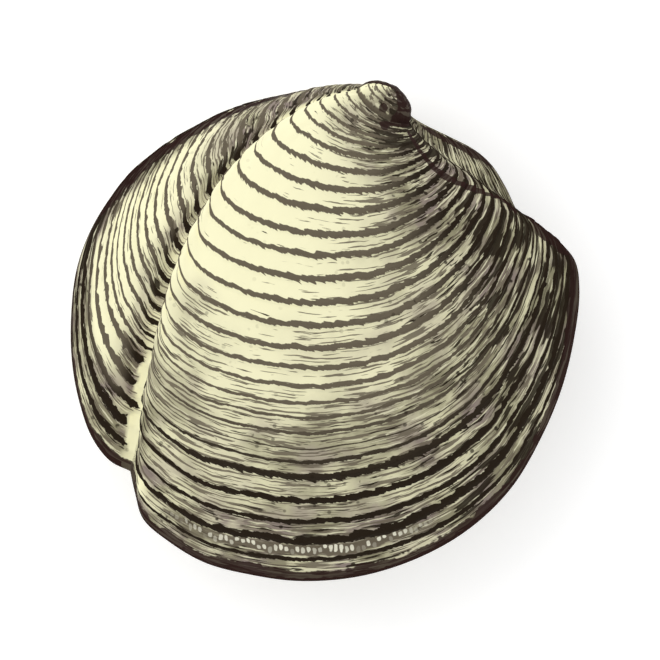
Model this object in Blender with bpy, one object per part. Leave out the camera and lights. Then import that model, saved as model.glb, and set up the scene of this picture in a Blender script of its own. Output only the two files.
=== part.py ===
"""Fossil clam: two closed valves, lying on the left one, with the beaks away from the viewer.

A valve grows as a real one does. Each growth line is the valve's margin again, made smaller,
flattened towards the hinge, turned about the beak and tilted up from the plane where the valves meet.
The surface steps down at every main growth line, so the bands overlap like shingles.
Frame: metres, +Z up, +X to the front of the clam, +Y to its hinge, origin under the middle of the shell.
"""
import math

import bmesh
import bpy
import numpy as np

MM = 0.001

# Outline of the valve in mm, from the notch round the rear, hinge, lunule, front and lower edge
NOTCH = [(-27.2, -19.4)]
REAR = [(-30.0, -18.0), (-32.5, -14.8), (-34.2, -10.2), (-35.3, -4.6), (-35.5, 1.8), (-34.6, 9.3),
        (-31.8, 16.1), (-27.1, 22.2)]
HINGE = [(-20.2, 27.0), (-11.8, 30.0), (-2.0, 30.9), (7.8, 30.6)]
LUNULE = [(12.1, 28.5), (16.2, 27.1), (20.1, 26.1), (23.2, 23.7), (25.4, 20.3), (27.1, 16.9), (29.7, 14.3)]
FRONT = [(33.0, 12.5), (35.1, 10.0), (35.7, 5.7), (34.9, -1.1), (33.2, -7.9), (30.4, -14.6), (26.2, -21.7)]
LOWER = [(20.5, -27.3), (13.5, -31.4), (5.1, -34.1), (-3.4, -34.8), (-10.4, -33.9), (-16.8, -32.2),
         (-21.9, -29.2), (-25.4, -26.1), (-26.5, -22.6)]
OUTLINE = np.array(NOTCH + REAR + HINGE + LUNULE + FRONT + LOWER)
# Outline points after which the curve is cut in two, so that the wide arcs stay round
HALVED = (5, 6, 22, 23, 24, 25, 27, 28, 29)

# Growth about the beak: lengths in mm, angles in radians, young is a growth line of no size
BEAK = np.array([11.6, 31.2])
LEAN_FULL_GROWN = 0.03
LEAN_YOUNG = 0.59
FLATTENING = 0.63
FLATTENING_POWER = 0.86
TURN = 0.51
CURL = 0.42
BEAK_CURL = 0.05
EDGE_TILT = 0.25
EDGE_POWER = 4
BEAK_LIFT = 2.4

# Main growth lines: size against the full-grown margin, and height of the step down in mm
GROWTH_LINES = [(0.979, 0.25), (0.958, 0.55), (0.936, 0.35), (0.910, 0.45), (0.878, 0.65), (0.858, 0.25),
                (0.840, 0.25), (0.819, 0.25), (0.797, 0.40), (0.776, 0.35), (0.750, 0.45), (0.722, 0.45),
                (0.690, 0.50), (0.651, 0.55), (0.611, 0.55), (0.567, 0.50), (0.520, 0.50), (0.478, 0.45),
                (0.421, 0.45), (0.370, 0.40), (0.320, 0.35), (0.271, 0.35), (0.235, 0.25), (0.200, 0.20)]
BEAK_ROWS = (0.16, 0.12)
# Rounding of the beak's end: share of the smallest growth line, and how far ahead of it in mm
BEAK_ROUNDING = [(0.92, 1.0), (0.75, 1.8), (0.50, 2.4), (0.25, 2.7)]
BEAK_POINTS_TO = (0.50, 0.72, 0.48)
STEP_RUN = 0.008
# Distance from the beak along the margin within which the steps die out
NO_STEP_REACH = 6.0
FULL_STEP_REACH = 26.0
# Height over the plane where the valves meet at which steps and furrow are at their full size
FULL_RELIEF_HEIGHT = 1.2

# Furrow behind the disc: its bottom runs along the notch, its steep side is the ridge of the disc
FURROW_DEPTH = 1.6
FURROW_WIDTH_REAR = 2.2
FURROW_WIDTH_DISC = 0.9
RIDGE_HEIGHT = 0.45
# The area behind the furrow is sunk a little along the middle of its height
SINK_DEPTH = 0.6
SINK_PLACE = 7.3
SINK_WIDTH = 2.3

# The valves lie apart by the gap, and the lower one has a worn flat to rest on
GAP = 0.3
FLAT_DEPTH = 1.2
FLAT_CENTRE = (-5.5, 12.0)
FLAT_SMOOTH_REACH = 14.0

SHARP_ANGLE = math.radians(32)
SHELL_COLOUR = (0.74, 0.70, 0.58, 1.0)


def clear_scene():
    for item in list(bpy.data.objects):
        bpy.data.objects.remove(item, do_unlink=True)


def spline_point(points, place):
    """Point of a centripetal curve through the outline, with a corner at the notch."""
    count = len(points)
    first = min(int(place), count - 1)
    part = place - first
    corners = [points[(first + step) % count] for step in (-1, 0, 1, 2)]
    if first == 0:
        corners[0] = 2 * corners[1] - corners[2]
    if first == count - 1:
        corners[3] = 2 * corners[2] - corners[1]
    times = [0.0]
    for start, end in zip(corners[:-1], corners[1:]):
        times.append(times[-1] + math.sqrt(np.linalg.norm(end - start)))
    at = times[1] + part * (times[2] - times[1])
    level = list(corners)
    for width in (1, 2):
        level = [mix(level[i], level[i + 1], times[i], times[i + width], at) for i in range(len(level) - 1)]
    return mix(level[0], level[1], times[1], times[2], at)


def mix(start, end, start_time, end_time, at):
    share = (at - start_time) / (end_time - start_time)
    return start + share * (end - start)


def column_places():
    places = []
    for index in range(len(OUTLINE)):
        places.append(float(index))
        if index in HALVED:
            places.append(index + 0.5)
    return places


def growth_line(size, margin):
    """The growth line of one size as points in mm, with no relief."""
    age = -math.log(size)
    lean = LEAN_FULL_GROWN + (LEAN_YOUNG - LEAN_FULL_GROWN) * (1 - size)
    back = np.array([-math.cos(lean), -math.sin(lean)])
    down = np.array([math.sin(lean), -math.cos(lean)])
    flattened = 1 - FLATTENING * (1 - size) ** FLATTENING_POWER
    reach = margin - BEAK
    flat = size * (np.outer(reach @ back, back) + flattened * np.outer(reach @ down, down))
    cosine, sine = math.cos(TURN * age), math.sin(TURN * age)
    x = BEAK[0] + flat[:, 0] * cosine + flat[:, 1] * sine
    y = BEAK[1] - flat[:, 0] * sine + flat[:, 1] * cosine
    tilt = CURL * age + BEAK_CURL * age ** 3 + EDGE_TILT * (1 - size ** EDGE_POWER)
    lift = BEAK_LIFT * (1 - size)
    z = size * (BEAK[1] - margin[:, 1]) * math.sin(tilt) + lift
    return np.stack([x, y, z], axis=1)


def outward(size, margin):
    """Unit vectors that point out of the shell along one growth line."""
    along = np.roll(growth_line(size, margin), -1, axis=0) - np.roll(growth_line(size, margin), 1, axis=0)
    across = growth_line(size * 0.995, margin) - growth_line(min(size * 1.005, 1.0), margin)
    normal = np.cross(across, along)
    return normal / np.linalg.norm(normal, axis=1)[:, None]


def furrow(places):
    """Height in mm against the plain surface, for a full-grown line."""
    rear = np.minimum(places, len(OUTLINE) - 1e-9)
    disc = len(OUTLINE) - places
    bottom = np.where(rear < disc, np.exp(-(rear / FURROW_WIDTH_REAR) ** 2),
                      np.exp(-(disc / FURROW_WIDTH_DISC) ** 2))
    ridge = np.exp(-((disc - 1.5) / 0.8) ** 2)
    return RIDGE_HEIGHT * ridge - FURROW_DEPTH * bottom


def sink(places):
    """Height in mm against the plain surface of the area behind the furrow, for a half-grown line."""
    return -SINK_DEPTH * np.exp(-((places - SINK_PLACE) / SINK_WIDTH) ** 2)


def relief_rows():
    """Growth line sizes from the margin to the beak, each with its height against the plain surface."""
    rows = [(1.0, 0.0)]
    for size, step in GROWTH_LINES:
        rows.append((size + STEP_RUN, -0.4 * step))
        rows.append((size, 0.6 * step))
    rows += [(size, 0.0) for size in BEAK_ROWS]
    return rows


def valve_points(rest):
    """All points of the outside of a valve, row by row; rest wears the steps off round the flat."""
    places = np.array(column_places())
    margin = np.array([spline_point(OUTLINE, place) for place in places])
    reach = np.linalg.norm(margin - BEAK, axis=1)
    step_share = np.clip((reach - NO_STEP_REACH) / (FULL_STEP_REACH - NO_STEP_REACH), 0, 1)
    rows = []
    for size, height in relief_rows():
        line = growth_line(size, margin)
        off_plane = np.clip(line[:, 2] / FULL_RELIEF_HEIGHT, 0, 1)
        share = step_share * math.sqrt(size)
        if rest:
            distance = np.linalg.norm(line[:, :2] - np.array(FLAT_CENTRE), axis=1)
            share = share * np.clip((distance - FLAT_SMOOTH_REACH) / 3, 0, 1)
        side = furrow(places) * size * (1 - size ** 30) + sink(places) * 4 * size * (1 - size)
        rows.append(line + outward(size, margin) * ((height * share + side) * off_plane)[:, None])
    return rows + beak_end(rows[-1])


def beak_end(last):
    """Rows that round off the end of the beak, each a smaller copy of the last one further ahead."""
    middle = last.mean(axis=0)
    ahead = np.array(BEAK_POINTS_TO) / np.linalg.norm(BEAK_POINTS_TO)
    return [middle + share * (last - middle) + reach * ahead for share, reach in BEAK_ROUNDING]


def valve_solid(name, upper):
    rows = valve_points(rest=not upper)
    columns = len(rows[0])
    mesh = bmesh.new()
    grid = []
    for row in rows:
        grid.append([mesh.verts.new((x * MM, y * MM, (z + GAP / 2) * MM)) for x, y, z in row])
    for outer, inner in zip(grid[:-1], grid[1:]):
        for column in range(columns):
            after = (column + 1) % columns
            mesh.faces.new((outer[column], outer[after], inner[after], inner[column]))
    mesh.faces.new(list(reversed(grid[0])))
    mesh.faces.new(grid[-1])
    if not upper:
        for vert in mesh.verts:
            vert.co.z = -vert.co.z
        lowest = min(vert.co.z for vert in mesh.verts)
        wear_flat(mesh, lowest + FLAT_DEPTH * MM)
    bmesh.ops.triangulate(mesh, faces=mesh.faces[:], quad_method="BEAUTY", ngon_method="BEAUTY")
    bmesh.ops.recalc_face_normals(mesh, faces=mesh.faces[:])
    data = bpy.data.meshes.new(name)
    mesh.to_mesh(data)
    mesh.free()
    data.shade_smooth()
    data.set_sharp_from_angle(angle=SHARP_ANGLE)
    item = bpy.data.objects.new(name, data)
    bpy.context.scene.collection.objects.link(item)
    return item


def wear_flat(mesh, level):
    """Cut the lowest part off at a level plane and close the cut with one flat face."""
    everything = mesh.verts[:] + mesh.edges[:] + mesh.faces[:]
    bmesh.ops.bisect_plane(mesh, geom=everything, dist=1e-7, plane_co=(0, 0, level), plane_no=(0, 0, -1),
                           clear_outer=True)
    rim = [edge for edge in mesh.edges if edge.is_boundary]
    bmesh.ops.holes_fill(mesh, edges=rim, sides=0)


def add_material(item, name):
    material = bpy.data.materials.new(name)
    material.use_nodes = True
    shader = material.node_tree.nodes["Principled BSDF"]
    shader.inputs["Base Color"].default_value = SHELL_COLOUR
    shader.inputs["Roughness"].default_value = 0.7
    item.data.materials.append(material)


def centre_on_floor(items):
    """Put the origin under the middle of the whole shell."""
    points = np.array([vertex.co[:] for item in items for vertex in item.data.vertices])
    low, high = points.min(axis=0), points.max(axis=0)
    middle = (low + high) / 2
    for item in items:
        for vertex in item.data.vertices:
            vertex.co.x -= middle[0]
            vertex.co.y -= middle[1]
            vertex.co.z -= low[2]


clear_scene()
right_valve = valve_solid("right_valve", upper=True)
left_valve = valve_solid("left_valve", upper=False)
add_material(right_valve, "right valve shell")
add_material(left_valve, "left valve shell")
centre_on_floor([right_valve, left_valve])
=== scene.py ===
import math

import bpy
import numpy as np
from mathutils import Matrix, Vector


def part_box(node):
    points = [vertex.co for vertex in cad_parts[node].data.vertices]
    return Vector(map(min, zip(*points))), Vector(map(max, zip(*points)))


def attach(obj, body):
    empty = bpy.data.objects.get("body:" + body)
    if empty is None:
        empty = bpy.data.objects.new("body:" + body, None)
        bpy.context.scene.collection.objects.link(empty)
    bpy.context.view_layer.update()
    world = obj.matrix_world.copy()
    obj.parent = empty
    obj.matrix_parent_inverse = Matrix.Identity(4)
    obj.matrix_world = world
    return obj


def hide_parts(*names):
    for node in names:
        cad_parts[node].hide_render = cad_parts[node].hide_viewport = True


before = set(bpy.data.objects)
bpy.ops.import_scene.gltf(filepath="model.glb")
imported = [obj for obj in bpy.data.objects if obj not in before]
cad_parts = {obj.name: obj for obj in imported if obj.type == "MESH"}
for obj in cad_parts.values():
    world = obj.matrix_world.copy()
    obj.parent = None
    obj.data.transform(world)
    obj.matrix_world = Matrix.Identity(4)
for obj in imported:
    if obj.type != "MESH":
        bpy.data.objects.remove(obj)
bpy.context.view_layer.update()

# The valves are grown again from the part's own sizes, with finer steps and threads.
MM = 0.001

# Outline of the valve in mm, from the notch round the rear, hinge, lunule, front and lower edge
NOTCH = [(-27.2, -19.4)]
REAR = [(-30.0, -18.0), (-32.5, -14.8), (-34.2, -10.2), (-35.3, -4.6), (-35.5, 1.8), (-34.6, 9.3),
        (-31.8, 16.1), (-27.1, 22.2)]
HINGE = [(-20.2, 27.0), (-11.8, 30.0), (-2.0, 30.9), (7.8, 30.6)]
LUNULE = [(12.1, 28.5), (16.2, 27.1), (20.1, 26.1), (23.2, 23.7), (25.4, 20.3), (27.1, 16.9), (29.7, 14.3)]
FRONT = [(33.0, 12.5), (35.1, 10.0), (35.7, 5.7), (34.9, -1.1), (33.2, -7.9), (30.4, -14.6), (26.2, -21.7)]
LOWER = [(20.5, -27.3), (13.5, -31.4), (5.1, -34.1), (-3.4, -34.8), (-10.4, -33.9), (-16.8, -32.2),
         (-21.9, -29.2), (-25.4, -26.1), (-26.5, -22.6)]
OUTLINE = np.array(NOTCH + REAR + HINGE + LUNULE + FRONT + LOWER)
LAST = len(OUTLINE)

# Growth about the beak: lengths in mm, angles in radians, young is a growth line of no size
BEAK = np.array([11.6, 31.2])
LEAN_FULL_GROWN = 0.03
LEAN_YOUNG = 0.59
FLATTENING = 0.63
FLATTENING_POWER = 0.86
TURN = 0.51
CURL = 0.42
BEAK_CURL = 0.05
EDGE_TILT = 0.25
EDGE_POWER = 4
BEAK_LIFT = 2.4

# Main growth lines from the beak outwards: size against the margin, height of the step down in mm
GROWTH_LINES = [(0.142, 0.06), (0.168, 0.10),
                (0.200, 0.20), (0.235, 0.25), (0.271, 0.35), (0.320, 0.35), (0.370, 0.40), (0.421, 0.45),
                (0.478, 0.45), (0.520, 0.50), (0.567, 0.50), (0.611, 0.55), (0.651, 0.55), (0.690, 0.50),
                (0.722, 0.45), (0.750, 0.45), (0.776, 0.35), (0.797, 0.40), (0.819, 0.25), (0.840, 0.25),
                (0.858, 0.25), (0.878, 0.65), (0.910, 0.45), (0.936, 0.35), (0.958, 0.55), (0.979, 0.25)]
# Change in size over which a step runs down, and the share of its height above the plain surface
STEP_RUN = 0.008
LIP_SHARE = 0.6
# Distance from the beak in mm where steps begin, and from where they have their full height
NO_STEP_REACH = 6.0
FULL_STEP_REACH = 26.0
# Height in mm over the plane where the valves meet, from which the relief is full
FULL_RELIEF_HEIGHT = 1.2

# The beak's end is a dome ahead of the smallest line: size, direction, height in mm, bands on it
BEAK_END = 0.12
BEAK_POINTS_TO = np.array([0.50, 0.72, 0.48])
BEAK_ROUNDING = 2.75
BEAK_BANDS = 5

# Furrow, ridge and sunk area: depths and heights in mm, widths and places round the outline
FURROW_DEPTH = 1.6
FURROW_WIDTH_REAR = 2.2
FURROW_WIDTH_DISC = 0.9
RIDGE_HEIGHT = 0.45
SINK_DEPTH = 0.6
SINK_PLACE = 7.3
SINK_WIDTH = 2.3
# How far the growth lines turn up at the furrow, as a share of size
REAR_PULL = 0.08

# Worn flat under the left valve, in the frame of the growth formula
FLAT_CENTRE = (-5.5, 12.0)
FLAT_SMOOTH_REACH = 14.0
FLAT_SMOOTH_FADE = 3.0

# Spacing of the fine surface in mm, and the angle in degrees from which an edge is sharp
ROW_SPACING = 0.40
COLUMN_SPACING = 0.54
SHARP_ANGLE = 50

# Colours of the photograph, as they look on a screen
CREAM = (246, 242, 202)
# Grey and mauve shell colours paint the shade, in uneven clouds
SHADE_GREY = (142, 137, 110)
SHADE_MAUVE = (140, 127, 118)
PALE_STREAK = (216, 212, 180)
HALF_TONE = (106, 97, 81)
DARK_LINE = (36, 27, 16)
MAROON_EDGE = (44, 25, 21)
WHITE_BEAD = (232, 229, 208)

# A place is a number of points along the outline: 0 the notch, 1 to 8 the rear, 9 to 12 the hinge,
# 13 to 19 the lunule, 20 to 26 the front, 27 to 35 the lower edge. A size is a share of the margin.
# Rows and threads are spaced by the distances along the line from the beak to this place.
MIDLINE_PLACE = 27.5
# Painted shade on the disc from the front backwards: place, shade
FRONT_SHADE = [(20, 0.97), (22, 0.88), (24, 0.71), (26, 0.40), (28, 0.16), (30, 0.08), (32, 0.04)]
# Dark growth lines, partly painted shadow under each step and wider on the shaded front: place, share of the
# band, and how many times wider or narrower a line of a size is
LINE_SHARE = [(19, 0.20), (20, 0.42), (22, 0.36), (24, 0.33), (27, 0.33), (29, 0.28), (31, 0.21), (34, 0.16)]
LINE_SHARE_REAR = 0.33
PAUSES = {0.840: 0.4, 0.858: 1.2, 0.878: 2.1, 0.910: 1.35, 0.936: 1.2, 0.958: 2.3}
# Where the lunule's border crosses the growth lines: size, place
LUNULE_BORDER = [(0.15, 22.4), (0.40, 22.4), (0.48, 22.0), (0.56, 21.4), (0.70, 20.4)]
LUNULE_SHADE = 0.71
# Streaks along the growth lines, which draw the painted shade: length and thickness in mm, seed
STREAKS = {"half_limit": (6.0, 0.36, 5.1), "fine_limit": (4.5, 0.42, 31.7), "bold_limit": (8.0, 0.85, 53.9)}
PALE_STREAKS = (7.0, 0.34, 71.3)
# Spread of a noise texture about its middle, which turns a wanted cover into a limit
NOISE_SPREAD = 0.084
# Size at which the row of beads runs, the distance from there to the beak in mm, and beads to a mm
# along the row and across it
BEAD_ROW = 0.9690
VALVE_REACH = 64.0
BEADS_PER_MM = 1.25
BEADS_PER_MM_ACROSS = 2.1
BEAD_ROUNDNESS = 2.6
# Matt finish, and the depth of its relief in metres
SPECULAR = 0.12
BUMP_STRENGTH = 0.6
BUMP_DISTANCE = 0.00012

# Studio: lens and sensor in mm, other lengths in metres, power in watts
CAMERA_LENS = 600
CAMERA_SENSOR = 36
FRAME_WIDTH = 0.0924
LOOKED_AT = (0.00067, 0.00019, 0.0172)
KEY_LIGHT_PLACE = (-0.34, 0.34, 0.48)
KEY_LIGHT_POWER = 1.3
KEY_LIGHT_SIZE = 0.60
LIT_POINT = (0, 0, 0.02)
WORLD_STRENGTH = 0.86
FLOOR_REACH = 1.2
FLOOR_DEPTH = 0.00005
FLOOR_GREY = 0.93
FLOOR_GLOW = 0.30


def linear(colour):
    parts = [value / 255 for value in colour]
    return [part / 12.92 if part < 0.04045 else ((part + 0.055) / 1.055) ** 2.4 for part in parts] + [1.0]


def smooth(value, low, high):
    share = np.clip((value - low) / (high - low), 0, 1)
    return share * share * (3 - 2 * share)


def fade(value, full, none):
    """1 up to full, 0 from none on."""
    return 1 - smooth(value, full, none)


def between(value, low, full, fading, high):
    """0 up to low, 1 from full to fading, 0 from high on."""
    return smooth(value, low, full) * fade(value, fading, high)


def from_table(value, table):
    return np.interp(value, *zip(*table))


def bump(value, centre, width):
    return np.exp(-((value - centre) / width) ** 2)


def lattice(ix, iy, seed):
    """Repeatable noise between -1 and 1 at whole numbers."""
    mixed = np.sin(ix * 127.1 + iy * 311.7 + seed * 74.7) * 43758.5453
    return 2 * (mixed - np.floor(mixed)) - 1


def noise(x, y, seed):
    """Smooth noise between -1 and 1, one lump to a unit."""
    ix, iy = np.floor(x), np.floor(y)
    fx, fy = x - ix, y - iy
    fx, fy = fx * fx * (3 - 2 * fx), fy * fy * (3 - 2 * fy)
    low = lattice(ix, iy, seed) * (1 - fx) + lattice(ix + 1, iy, seed) * fx
    high = lattice(ix, iy + 1, seed) * (1 - fx) + lattice(ix + 1, iy + 1, seed) * fx
    return low * (1 - fy) + high * fy


def mix(start, end, start_time, end_time, at):
    return start + (at - start_time) / (end_time - start_time) * (end - start)


def spline_point(points, place):
    """Point of a centripetal curve through the outline, with a corner at the notch."""
    count = len(points)
    first = min(int(place), count - 1)
    corners = [points[(first + step) % count] for step in (-1, 0, 1, 2)]
    if first == 0:
        corners[0] = 2 * corners[1] - corners[2]
    if first == count - 1:
        corners[3] = 2 * corners[2] - corners[1]
    times = [0.0]
    for start, end in zip(corners[:-1], corners[1:]):
        times.append(times[-1] + math.sqrt(np.linalg.norm(end - start)))
    at = times[1] + (place - first) * (times[2] - times[1])
    level = corners
    for width in (1, 2):
        level = [mix(level[i], level[i + 1], times[i], times[i + width], at) for i in range(len(level) - 1)]
    return mix(level[0], level[1], times[1], times[2], at)


def column_places():
    """Places round the outline at an even spacing, one of them at the notch."""
    fine = np.linspace(0, LAST, 3600, endpoint=False)
    points = np.array([spline_point(OUTLINE, place) for place in fine])
    lengths = np.linalg.norm(np.roll(points, -1, axis=0) - points, axis=1)
    run = np.concatenate([[0], np.cumsum(lengths)])
    count = int(run[-1] / COLUMN_SPACING)
    return np.interp(np.linspace(0, run[-1], count, endpoint=False), run, np.append(fine, LAST))


def grown(size, margin):
    """Surface points in mm, one for each pair of a size and a margin point."""
    age = -np.log(size)
    lean = LEAN_FULL_GROWN + (LEAN_YOUNG - LEAN_FULL_GROWN) * (1 - size)
    flattened = 1 - FLATTENING * (1 - size) ** FLATTENING_POWER
    reach = margin - BEAK
    back = -reach[..., 0] * np.cos(lean) - reach[..., 1] * np.sin(lean)
    down = (reach[..., 0] * np.sin(lean) - reach[..., 1] * np.cos(lean)) * flattened
    flat_x = size * (-back * np.cos(lean) + down * np.sin(lean))
    flat_y = size * (-back * np.sin(lean) - down * np.cos(lean))
    x = BEAK[0] + flat_x * np.cos(TURN * age) + flat_y * np.sin(TURN * age)
    y = BEAK[1] - flat_x * np.sin(TURN * age) + flat_y * np.cos(TURN * age)
    tilt = CURL * age + BEAK_CURL * age ** 3 + EDGE_TILT * (1 - size ** EDGE_POWER)
    z = -size * reach[..., 1] * np.sin(tilt) + BEAK_LIFT * (1 - size)
    return np.stack([x, y, z], axis=-1)


def furrow(places):
    """Height in mm of the furrow and its ridge against the plain surface, for a full-grown line."""
    disc = LAST - places
    bottom = np.where(places < disc, bump(places, 0, FURROW_WIDTH_REAR), bump(disc, 0, FURROW_WIDTH_DISC))
    return RIDGE_HEIGHT * bump(disc, 1.5, 0.8) - FURROW_DEPTH * bottom


def surface_rows():
    """Every row of the fine surface: its size, its band number with the share of the band, its height."""
    middle = np.array([spline_point(OUTLINE, MIDLINE_PLACE)])
    lines = [(BEAK_END, 0.0)] + GROWTH_LINES + [(1.0, 0.0)]
    dome = np.cos(np.linspace(1.45, 0.12, 12))
    rows = [(BEAK_END * share, BEAK_BANDS * share, 0.0) for share in dome]
    pairs = zip(lines[:-1], lines[1:])
    for band, ((young, young_step), (old, old_step)) in enumerate(pairs, start=BEAK_BANDS):
        width = np.linalg.norm(grown(np.array([old]), middle) - grown(np.array([young]), middle))
        run = min(STEP_RUN, 0.35 * (old - young))
        starts = [young, young + 0.45 * run] if young_step else [young]
        count = max(3, round(width / ROW_SPACING))
        sizes = starts + list(np.linspace(young + (run if young_step else 0), old, count, endpoint=False))
        for size in sizes:
            share = (size - young) / (old - young)
            drop = min(1.0, (size - young) / run) if young_step else 1.0
            rise = max(0.0, (size - young - run) / (old - young - run))
            top = young_step * (LIP_SHARE - smooth(drop, 0, 1))
            height = top + rise * (LIP_SHARE * old_step + (1 - LIP_SHARE) * young_step)
            rows.append((size, band + share, height))
    rows.append((1.0, BEAK_BANDS + len(lines) - 1.0, 0.0))
    return np.array(rows)


def round_off_beak(points, rows):
    """Put the youngest rows on a dome ahead of the smallest growth line, in place."""
    young = rows[:, 0] < BEAK_END - 1e-6
    first = points[np.argmin(young)]
    middle = first.mean(axis=0)
    ahead = BEAK_POINTS_TO / np.linalg.norm(BEAK_POINTS_TO)
    for row in np.flatnonzero(young):
        share = rows[row, 0] / BEAK_END
        points[row] = middle + share * (first - middle) + BEAK_ROUNDING * math.sqrt(1 - share ** 2) * ahead


def surface_normals(points):
    across = np.gradient(points, axis=0)
    along = np.roll(points, -1, axis=1) - np.roll(points, 1, axis=1)
    normal = np.cross(along, across)
    return normal / np.maximum(np.linalg.norm(normal, axis=-1), 1e-9)[..., None]


def wander(place, size, band, step_share):
    """Change in size of the growth lines: they waver a little and turn up at the furrow."""
    calm = step_share * fade(size, 0.95, 1.0) * smooth(size, 0.12, 0.3)
    around = place * 1.7
    waver = 0.0016 * noise(around, band * 0.9, 1) + 0.0008 * noise(around * 3.1, band * 1.3, 2)
    on_disc = 0.6 * np.clip((place - 33.0) / 2.2, 0, 1) ** 2
    behind = (0.6 + 0.4 * smooth(place, 0.0, 1.8)) * fade(place, 5.0, 10.0)
    turned_up = np.where(place > 18, on_disc, behind) * smooth(size, 0.12, 0.3) * 4 * size * (1 - size)
    return calm * waver - REAR_PULL * turned_up


def step_heights(rows, place, size, band):
    """Height of the steps in mm, with nicks in their edges and a scallop on the ridge."""
    nicks = 1 - 0.55 * smooth(noise(place * 6.8, np.floor(band) * 5.3, 7), 0.2, 0.8)
    scallop = 1 + 0.7 * bump(LAST - place, 1.4, 0.9)
    return rows[:, 2][:, None] * np.sqrt(size) * nicks * scallop


def unevenness(points, place):
    """Fine threads along the growth lines and a broad swell, in mm."""
    midline = points[:, np.argmin(abs(place[0] - MIDLINE_PLACE))]
    depth = np.cumsum(np.linalg.norm(np.gradient(midline, axis=0), axis=1))[:, None] + 0 * place
    threads = 0.035 * noise(place * 1.36, depth * 1.3, 3) + 0.02 * noise(place * 3.4, depth * 2.1, 4)
    swell = 0.10 * noise(place * 0.6, depth * 0.12, 5) + 0.05 * noise(place * 1.3, depth * 0.3, 6)
    return threads + swell


def valve_surface(rest):
    """Points of the fine surface in mm and the measures that its material reads, row by row."""
    places = column_places()
    margin = np.array([spline_point(OUTLINE, place) for place in places])
    rows = surface_rows()
    place, size = np.meshgrid(places, rows[:, 0])
    band = np.meshgrid(places, rows[:, 1])[1]
    reach = np.linalg.norm(margin - BEAK, axis=1)
    step_share = np.clip((reach - NO_STEP_REACH) / (FULL_STEP_REACH - NO_STEP_REACH), 0, 1)

    size = size + wander(place, size, band, step_share)
    points = grown(np.clip(size, BEAK_END, 1.0), margin[None, :, :])
    round_off_beak(points, rows)
    off_plane = np.clip(points[..., 2] / FULL_RELIEF_HEIGHT, 0, 1)

    # Steps and unevenness, worn off round the flat that the shell rests on, then furrow and sunk area
    relief = (step_heights(rows, place, size, band) + unevenness(points, place)) * step_share
    if rest:
        distance = np.linalg.norm(points[..., :2] - np.array(FLAT_CENTRE), axis=-1)
        relief = relief * np.clip((distance - FLAT_SMOOTH_REACH) / FLAT_SMOOTH_FADE, 0, 1)
    relief = relief + furrow(place) * size * (1 - size ** 30)
    relief = relief - SINK_DEPTH * bump(place, SINK_PLACE, SINK_WIDTH) * 4 * size * (1 - size)
    relief = relief * off_plane * fade(size, 0.99, 1.0)
    points = points + surface_normals(points) * relief[..., None]
    return points, point_measures(rows, margin, place, size, band)


def point_measures(rows, margin, place, size, band):
    """What the material reads at each point; lengths in mm."""
    loop = np.linalg.norm(np.roll(margin, -1, axis=0) - margin, axis=1)
    run = (np.cumsum(loop) - loop)[None, :] + 0 * size
    width = band_widths(rows, margin)
    measures = {"band": band, "size": size, "run": run, "along": run * (0.25 + 0.75 * size),
                "band_width": width, "line_width": line_widths(rows, place, size) * width}
    measures.update(markings_and_painted_shade(place, size))
    return measures


def band_widths(rows, margin):
    """Real width of each point's band in mm."""
    edges = [BEAK_END] + [size for size, _ in GROWTH_LINES] + [1.0]
    lines = [grown(np.full(len(margin), edge), margin) for edge in edges]
    widths = [np.linalg.norm(outer - inner, axis=1) for inner, outer in zip(lines[:-1], lines[1:])]
    widths = [widths[0] * 0 + BEAK_ROUNDING / BEAK_BANDS] * BEAK_BANDS + widths + [widths[-1]]
    return np.array([widths[int(number)] for number in rows[:, 1]])


def furrow_wall(place, size):
    """Share of the pale strip just behind the furrow's bottom, low down on the shell."""
    wavy = place + 0.30 * noise(size * 70, 0 * size, 21)
    return fade(wavy, 0.20, 0.34) * smooth(size, 0.82, 0.86)


def line_widths(rows, place, size):
    """Width of the dark line between bands as a share of the band, more or less at the pauses in growth."""
    low = smooth(size, 0.70, 0.80)
    on_disc = from_table(place, LINE_SHARE) * (1 - 0.35 * low) + 0.03 * low
    share = np.where(place < 12, LINE_SHARE_REAR, on_disc)
    edges = np.array([0.0] * BEAK_BANDS + [BEAK_END] + [line for line, _ in GROWTH_LINES] + [1.0])
    ring = rows[:, 1].astype(int)
    nearest = np.where(rows[:, 1] - ring < 0.5, edges[ring], edges[np.minimum(ring + 1, len(edges) - 1)])
    pause = np.array([PAUSES.get(round(float(line), 3), 1.0) for line in nearest])
    share = share * (1 - 1.6 * furrow_wall(place, size))
    return share * np.where(place < 12, 0.5 * pause[:, None] + 0.5, pause[:, None])


def cover_limit(cover):
    """Noise value above which that share of the surface lies, taking noise as normally spread."""
    share = np.clip(cover, 0.002, 0.998)
    return 0.5 + NOISE_SPREAD * 4.91 * ((1 - share) ** 0.14 - share ** 0.14)


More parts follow.
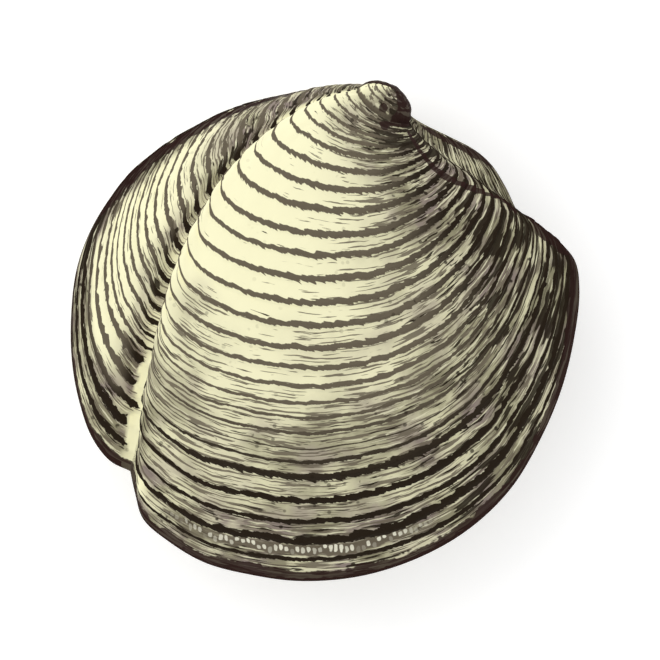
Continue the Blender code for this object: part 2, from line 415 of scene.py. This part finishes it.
def painted_shade(place, size):
    """How dark the painted shade makes each point, from 0 for clean shell to 1; it deepens towards the
    front, the lower edge and the lunule.
    """
    front = from_table(place - 4 * fade(size, 0.16, 0.34), FRONT_SHADE)
    # Painted shade deepening towards the lower edge
    deeper = 0.10 * smooth(size, 0.60, 0.68) + 0.27 * smooth(size, 0.74, 0.82)
    deeper = deeper + 0.24 * smooth(size, 0.93, 0.945)
    disc = front + deeper * (1 - front) - 0.30 * bump(place, 21.3, 2.0) * bump(size, 0.42, 0.09)
    disc = disc - 0.55 * bump(place, 22.5, 3.2) * bump(size, 0.848, 0.014)
    disc = disc + 0.20 * bump(place, 32.6, 0.9) * between(size, 0.58, 0.66, 0.74, 0.80)
    disc = disc + 0.15 * bump(place, 34.4, 0.6) * smooth(size, 0.74, 0.80)

    # Behind the furrow, painted shade: dark patches in the furrow's recess, a young and an old dark part, a
    # dark dorsal side
    patch = smooth(noise(size * 14, place * 0.9, 11), -0.3, 0.3)
    young = 0.60 * fade(size, 0.27, 0.60) * smooth(place, 0.3, 2.0)
    old = smooth(size, 0.90, 0.92) * (0.32 * smooth(place, 0.8, 2.0) + 0.24 * smooth(place, 3.5, 4.5))
    in_furrow = bump(place, 0.9, 0.9) * smooth(size, 0.25, 0.4)
    rear = 0.13 + in_furrow * (0.28 + (0.50 - 0.3 * smooth(size, 0.72, 0.82)) * patch) + young + old
    rear = rear + 0.70 * smooth(place, 5.4, 6.6) + 0.10 * smooth(place, 7.5, 9.0)
    shade = np.where(place < 12.5, rear, disc)
    lunule = between(place, 12.3, 13.2, 18.8, 19.6)
    return np.clip(shade * (1 - lunule) + LUNULE_SHADE * lunule, 0, 1)


def contour(place, size):
    """Share of the dark rim: edge, both sides of the hinge, shoulder, lunule's border and beak."""
    start = 0.984 - 0.028 * bump(place, 22.0, 1.8)
    edge = 0.55 * smooth(size, start, start + 0.008) + 0.45 * smooth(size, start + 0.008, start + 0.012)
    hinge = np.maximum(bump(place, 7.2, 0.75), bump(place, 15.9, 0.55) * smooth(size, 0.2, 0.4))
    shoulder = between(place, 18.9, 19.5, 20.9, 21.6) * smooth(size, 0.70, 0.80)
    shoulder = shoulder * smooth(abs(size - 0.80), 0.02, 0.05)
    border = bump(place, from_table(size, LUNULE_BORDER), 0.22) * between(size, 0.13, 0.20, 0.72, 0.80)

    # Beak: its right side in painted shade, its top, the top behind it, and two spots
    beak = between(place, 11.5, 13.5, 24.0, 26.0) * fade(size, 0.13, 0.15)
    beak = beak + between(place, 0.3, 1.5, 12.0, 13.0) * fade(size, 0.11, 0.12)
    beak = beak + 0.55 * between(place, 4.2, 5.4, 8.5, 9.5) * fade(size, 0.30, 0.42)
    beak = beak + 0.8 * bump(place, 27.5, 1.0) * bump(size, 0.108, 0.018)
    beak = beak + 0.8 * bump(place, 25.8, 0.9) * bump(size, 0.145, 0.025)
    return np.clip(np.maximum(edge, hinge) + shoulder + border + beak, 0, 1)


def markings_and_painted_shade(place, size):
    """What the material needs to know of each point's markings and of the painted shade."""
    below_notch = smooth(size, 0.945, 0.955) * bump(place, 34.3, 0.9)
    ridge = smooth(place, 34.4, 35.2) * between(size, 0.3, 0.5, 0.94, 0.98) + below_notch
    ridge = np.clip(ridge + furrow_wall(place, size), 0, 1) * fade(size, 0.976, 0.986)
    # The painted shade, taken off the pale ridge, turns the ground grey and sets how much of it the streaks
    # cover
    shade = painted_shade(place, size) * (1 - 0.85 * ridge)
    dark = np.clip(1.35 * np.maximum(shade - 0.35, 0) ** 1.5, 0, 1)
    half = 0.34 * smooth(shade, 0.06, 0.40)
    bold = smooth(shade, 0.55, 0.80)
    # Growth lines in half-tone where the shell faces the light, dark on its shaded sides: painted shade
    calm_disc = smooth(place, 23.5, 27.0) * fade(size, 0.76, 0.90)
    calm_rear = between(place, 0.6, 1.8, 5.4, 6.6) * fade(size, 0.90, 0.93)
    soft = np.where(place < 12, 0.85 * calm_rear, 0.95 * calm_disc)
    return {"grey": np.clip(1.9 * shade - 0.22, 0, 1),
            "half_limit": cover_limit(half), "fine_limit": cover_limit(dark * (1 - bold)),
            "bold_limit": cover_limit(dark * bold), "soft_line": soft, "rim": contour(place, size),
            "beads": between(place, 27.4, 28.4, 30.6, 34.0)}


def placed(points, node, upper):
    """Points in metres where the CAD valve lies; the left valve is turned over and ends at its flat."""
    low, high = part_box(node)
    x = points[..., 0] + low.x / MM - OUTLINE[:, 0].min()
    y = points[..., 1] + low.y / MM - OUTLINE[:, 1].min()
    if upper:
        z = points[..., 2] + low.z / MM
    else:
        z = np.maximum(high.z / MM - points[..., 2], low.z / MM)
    return np.stack([x, y, z], axis=-1) * MM


def valve_faces(rows, columns, upper):
    """Quads between the rows, and one face each over the margin and the beak's end, facing outwards."""
    base = np.arange(rows * columns).reshape(rows, columns)
    right = np.roll(base, -1, axis=1)
    quads = np.stack([base[:-1], right[:-1], right[1:], base[1:]], axis=-1).reshape(-1, 4)
    faces = quads.tolist() + [base[-1].tolist(), base[0][::-1].tolist()]
    return faces if upper else [face[::-1] for face in faces]


def make_valve(name, node, upper):
    points, measures = valve_surface(rest=not upper)
    rows, columns = points.shape[:2]
    verts = placed(points, node, upper).reshape(-1, 3)
    data = bpy.data.meshes.new(name)
    data.from_pydata(verts.tolist(), [], valve_faces(rows, columns, upper))
    for key, values in measures.items():
        layer = data.attributes.new(key, "FLOAT", "POINT")
        layer.data.foreach_set("value", values.astype(np.float32).ravel())
    data.shade_smooth()
    data.set_sharp_from_angle(angle=math.radians(SHARP_ANGLE))
    piece = bpy.data.objects.new(name, data)
    bpy.context.scene.collection.objects.link(piece)
    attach(piece, "root")
    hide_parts(node)
    return piece


class Graph:
    """A material's nodes, with one short call for each kind."""

    def __init__(self, name):
        self.material = bpy.data.materials.new(name)
        self.material.use_nodes = True
        self.tree = self.material.node_tree
        self.shader = self.tree.nodes["Principled BSDF"]

    def put(self, socket, value):
        if isinstance(value, bpy.types.NodeSocket):
            self.tree.links.new(value, socket)
        else:
            socket.default_value = value

    def node(self, kind, **settings):
        made = self.tree.nodes.new(kind)
        for key, value in settings.items():
            setattr(made, key, value)
        return made

    def math(self, operation, *values, clamp=False):
        made = self.node("ShaderNodeMath", operation=operation, use_clamp=clamp)
        for socket, value in zip(made.inputs, values):
            self.put(socket, value)
        return made.outputs[0]

    def times(self, *values, clamp=False):
        return self.math("MULTIPLY", *values, clamp=clamp)

    def scaled(self, value, factor, offset):
        return self.math("MULTIPLY_ADD", value, factor, offset)

    def attribute(self, name):
        return self.node("ShaderNodeAttribute", attribute_name=name).outputs["Fac"]

    def vector(self, x, y, z):
        made = self.node("ShaderNodeCombineXYZ")
        for socket, value in zip(made.inputs, (x, y, z)):
            self.put(socket, value)
        return made.outputs[0]

    def noise(self, vector, scale, detail):
        made = self.node("ShaderNodeTexNoise")
        self.put(made.inputs["Vector"], vector)
        made.inputs["Scale"].default_value = scale
        made.inputs["Detail"].default_value = detail
        return made.outputs["Fac"]

    def over(self, value, low, high):
        """0 below low, 1 above high, smooth between; low and high may be sockets."""
        made = self.node("ShaderNodeMapRange", interpolation_type="SMOOTHSTEP")
        self.put(made.inputs["Value"], value)
        self.put(made.inputs["From Min"], low)
        self.put(made.inputs["From Max"], high)
        return made.outputs["Result"]

    def blend(self, share, first, second):
        made = self.node("ShaderNodeMix", data_type="RGBA")
        self.put(made.inputs[0], share)
        self.put(made.inputs[6], first)
        self.put(made.inputs[7], second)
        return made.outputs[2]


def growth_coordinates(graph):
    """Ring number, distances from the lines on a point's young and old side, and distance along."""
    band = graph.attribute("band")
    ring = graph.math("FLOOR", band)
    width = graph.attribute("band_width")
    below = graph.times(graph.math("FRACT", band), width)
    above = graph.math("SUBTRACT", width, below)
    return ring, below, above, graph.attribute("along")


def streak_mark(graph, coordinates, limit, length, thickness, seed):
    """Marks drawn out along the growth lines: their limit a socket, their length and thickness in mm."""
    ring, below, _, along = coordinates
    shifted = graph.scaled(ring, 3.7, seed)
    across = graph.scaled(below, 1 / thickness, shifted)
    pattern = graph.noise(graph.vector(graph.times(along, 1 / length), across, ring), 1.0, 2.5)
    low, high = graph.math("SUBTRACT", limit, 0.012), graph.math("ADD", limit, 0.012)
    return graph.over(pattern, low, high)


def ground_colour(graph, position, grey, coordinates):
    """Cream shell, turned grey in uneven clouds by the painted shade, with pale streaks in the grey."""
    cloud = graph.noise(position, 150.0, 4.0)
    cloudy = graph.scaled(graph.over(cloud, 0.34, 0.66), 0.9, 0.45)
    greyness = graph.times(grey, cloudy, clamp=True)
    tint = graph.over(graph.noise(position, 170.0, 2.0), 0.42, 0.62)
    shade_colour = graph.blend(tint, linear(SHADE_GREY), linear(SHADE_MAUVE))
    colour = graph.blend(greyness, linear(CREAM), shade_colour)
    limit = graph.scaled(grey, -0.17, 0.74)
    pale = streak_mark(graph, coordinates, limit, *PALE_STREAKS)
    return graph.blend(graph.times(pale, 0.9), colour, linear(PALE_STREAK))


def growth_line_mark(graph, coordinates):
    """The dark line between two bands, partly a growth line and partly painted shadow under the step, three
    fifths of it on the lip of the younger one.
    """
    ring, below, above, along = coordinates
    uneven = graph.noise(graph.vector(graph.times(along, 0.5), ring, 0.0), 1.0, 5.0)
    uneven = graph.scaled(uneven, 2.8, -0.4)
    width = graph.times(graph.attribute("line_width"), uneven)
    ragged = graph.noise(graph.vector(graph.times(along, 1.2), ring, 9.0), 1.0, 2.0)
    under = graph.times(width, graph.scaled(ragged, 1.4, -0.30))
    lip = graph.times(width, 0.6)
    lower = graph.over(below, graph.math("ADD", under, 0.05), graph.math("SUBTRACT", under, 0.03))
    upper = graph.over(above, graph.math("ADD", lip, 0.05), graph.math("SUBTRACT", lip, 0.03))
    return graph.math("MAXIMUM", lower, upper)


def add_streaks(graph, colour, coordinates):
    """Half-tone streaks, then fine and bold dark ones, as much as the painted shade asks; the marks
    themselves come back too.
    """
    half, fine, bold = [streak_mark(graph, coordinates, graph.attribute(limit), *kind)
                        for limit, kind in STREAKS.items()]
    colour = graph.blend(graph.times(half, 0.9), colour, linear(HALF_TONE))
    dark = graph.math("MAXIMUM", fine, bold)
    return graph.blend(graph.times(dark, 0.94), colour, linear(DARK_LINE)), half, dark


def add_growth_lines(graph, colour, coordinates):
    """Growth lines, softer on the upper disc and behind the furrow, which face the light, and dark as
    painted shade elsewhere.
    """
    line = growth_line_mark(graph, coordinates)
    tone = graph.blend(graph.attribute("soft_line"), linear(DARK_LINE), linear(HALF_TONE))
    return graph.blend(line, colour, tone), line


def add_beads(graph, colour, position):
    """One row of small pale beads near the lower edge, uneven in brightness, on a darker strip."""
    wobble = graph.math("SUBTRACT", graph.noise(position, 480.0, 2.0), 0.5)
    run = graph.scaled(graph.attribute("run"), BEADS_PER_MM, graph.times(wobble, 0.9))
    chance = graph.node("ShaderNodeTexWhiteNoise", noise_dimensions="1D")
    graph.put(chance.inputs["W"], graph.math("FLOOR", run))
    chance = chance.outputs["Value"]
    along = graph.math("SUBTRACT", graph.math("FRACT", run), 0.5)
    above = graph.math("SUBTRACT", graph.attribute("size"), BEAD_ROW)
    above = graph.times(graph.scaled(wobble, 0.012, above), VALVE_REACH)
    across = graph.scaled(above, BEADS_PER_MM_ACROSS, graph.scaled(chance, 0.8, -0.4))
    apart = [graph.math("POWER", graph.math("ABSOLUTE", part), BEAD_ROUNDNESS) for part in (along, across)]
    bead = graph.over(graph.math("ADD", *apart), 0.085, 0.045)
    strip = graph.over(graph.math("ABSOLUTE", above), 0.42, 0.28)
    here = graph.attribute("beads")
    bright = graph.times(here, graph.over(chance, -0.20, 0.80))
    colour = graph.blend(graph.times(strip, here), colour, linear(HALF_TONE))
    return graph.blend(graph.times(bead, bright), colour, linear(WHITE_BEAD))


def add_pits(graph, colour, position, grey):
    """Small dark pits, most of them in the painted shade."""
    pit = graph.node("ShaderNodeTexVoronoi", feature="F1")
    graph.put(pit.inputs["Vector"], position)
    pit.inputs["Scale"].default_value = 700.0
    few = graph.over(graph.noise(position, 260.0, 1.0), 0.56, 0.60)
    pits = graph.times(graph.over(pit.outputs["Distance"], 0.26, 0.16), few)
    pits = graph.times(pits, graph.scaled(grey, 0.8, 0.1))
    return graph.blend(pits, colour, linear(DARK_LINE)), pits


def add_rim(graph, colour, position):
    """The dark rim, with an uneven border."""
    rim = graph.scaled(graph.noise(position, 420.0, 4.0), 1.4, graph.attribute("rim"))
    return graph.blend(graph.times(graph.over(rim, 1.12, 1.20), 0.92), colour, linear(MAROON_EDGE))


def sink_marks(graph, grain, dark, half, pits):
    """Bump of the chalky grain, with dark marks, half-tone streaks and pits a little deeper."""
    height = graph.scaled(dark, -0.6, graph.times(grain, 0.25))
    height = graph.math("SUBTRACT", height, graph.times(half, 0.3))
    height = graph.math("SUBTRACT", height, graph.times(pits, 0.8))
    relief = graph.node("ShaderNodeBump")
    relief.inputs["Strength"].default_value = BUMP_STRENGTH
    relief.inputs["Distance"].default_value = BUMP_DISTANCE
    graph.put(relief.inputs["Height"], height)
    return relief.outputs["Normal"]


def shell_material(name):
    graph = Graph(name)
    coordinates = growth_coordinates(graph)
    grey = graph.attribute("grey")
    position = graph.node("ShaderNodeTexCoord").outputs["Object"]
    colour = ground_colour(graph, position, grey, coordinates)
    colour, half, streaks = add_streaks(graph, colour, coordinates)
    colour, line = add_growth_lines(graph, colour, coordinates)
    colour = add_beads(graph, colour, position)
    colour, pits = add_pits(graph, colour, position, grey)
    colour = add_rim(graph, colour, position)

    # Matt chalk, the dark marks rougher and a little sunk
    dark = graph.math("MAXIMUM", line, streaks)
    grain = graph.noise(position, 1500.0, 3.0)
    roughness = graph.scaled(dark, 0.2, graph.scaled(grain, 0.25, 0.55))
    graph.put(graph.shader.inputs["Base Color"], colour)
    graph.put(graph.shader.inputs["Roughness"], roughness)
    graph.shader.inputs["Specular IOR Level"].default_value = SPECULAR
    graph.put(graph.shader.inputs["Normal"], sink_marks(graph, grain, dark, half, pits))
    return graph.material


def add_floor():
    """A pale floor, just far enough under the flat for the two to share no plane."""
    data = bpy.data.meshes.new("floor")
    corners = [(FLOOR_REACH * x, FLOOR_REACH * y, 0) for x, y in ((-1, -1), (1, -1), (1, 1), (-1, 1))]
    data.from_pydata(corners, [], [(0, 1, 2, 3)])
    floor = bpy.data.objects.new("floor", data)
    floor.location.z = -FLOOR_DEPTH
    bpy.context.scene.collection.objects.link(floor)
    material = bpy.data.materials.new("pale floor")
    material.use_nodes = True
    shader = material.node_tree.nodes["Principled BSDF"]
    shader.inputs["Base Color"].default_value = (FLOOR_GREY, FLOOR_GREY, FLOOR_GREY, 1)
    shader.inputs["Roughness"].default_value = 0.9
    shader.inputs["Emission Color"].default_value = (1, 1, 1, 1)
    shader.inputs["Emission Strength"].default_value = FLOOR_GLOW
    data.materials.append(material)


def add_key_light():
    data = bpy.data.lights.new("key", "AREA")
    data.energy = KEY_LIGHT_POWER
    data.size = KEY_LIGHT_SIZE
    light = bpy.data.objects.new("key", data)
    light.location = KEY_LIGHT_PLACE
    light.rotation_euler = (Vector(LIT_POINT) - Vector(KEY_LIGHT_PLACE)).to_track_quat("-Z", "Y").to_euler()
    bpy.context.scene.collection.objects.link(light)


def add_camera():
    """Straight down on the right valve, from far enough to flatten the view."""
    data = bpy.data.cameras.new("camera")
    data.lens, data.sensor_width = CAMERA_LENS, CAMERA_SENSOR
    data.clip_end = 10
    camera = bpy.data.objects.new("camera", data)
    distance = FRAME_WIDTH * CAMERA_LENS / CAMERA_SENSOR
    camera.location = Vector(LOOKED_AT) + Vector((0, 0, distance))
    bpy.context.scene.collection.objects.link(camera)
    bpy.context.scene.camera = camera


def add_world():
    world = bpy.data.worlds.new("studio")
    world.use_nodes = True
    world.node_tree.nodes["Background"].inputs["Color"].default_value = (1, 1, 1, 1)
    world.node_tree.nodes["Background"].inputs["Strength"].default_value = WORLD_STRENGTH
    bpy.context.scene.world = world


material = shell_material("fossil shell")
for name, node, upper in (("right_shell", "right_valve", True), ("left_shell", "left_valve", False)):
    valve = make_valve(name, node, upper)
    valve.data.materials.append(material)

add_floor()
add_key_light()
add_camera()
add_world()
bpy.context.scene.view_settings.view_transform = "Standard"
